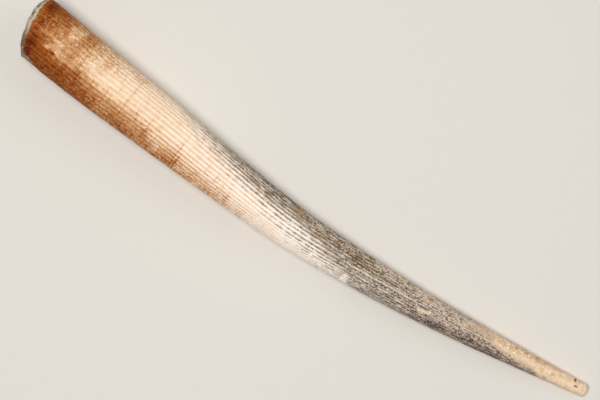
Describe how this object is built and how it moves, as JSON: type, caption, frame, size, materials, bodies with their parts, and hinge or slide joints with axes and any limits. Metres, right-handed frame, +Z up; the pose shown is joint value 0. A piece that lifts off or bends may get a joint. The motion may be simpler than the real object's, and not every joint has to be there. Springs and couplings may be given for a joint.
{
  "type": "tusk shell",
  "caption": "Hollow, gently curved and tapering tusk shell with lengthwise ribs, open at its wide mouth and its narrow tip, lying on its side.",
  "frame": {"origin": "middle of the bounding box's underside, on the surface that the shell lies on", "axes": "+X along the shell from its wide mouth to its narrow tip, +Y towards the hollow side of its curve, +Z up"},
  "size_m": [0.1434, 0.0156, 0.0138],
  "materials": {
    "shell": "matt to faintly glossy weathered shell, cream with orange-brown at the mouth and grey grime in the grooves"
  },
  "bodies": {
    "root": {"tusk_shell": "shell"}
  },
  "joints": []
}
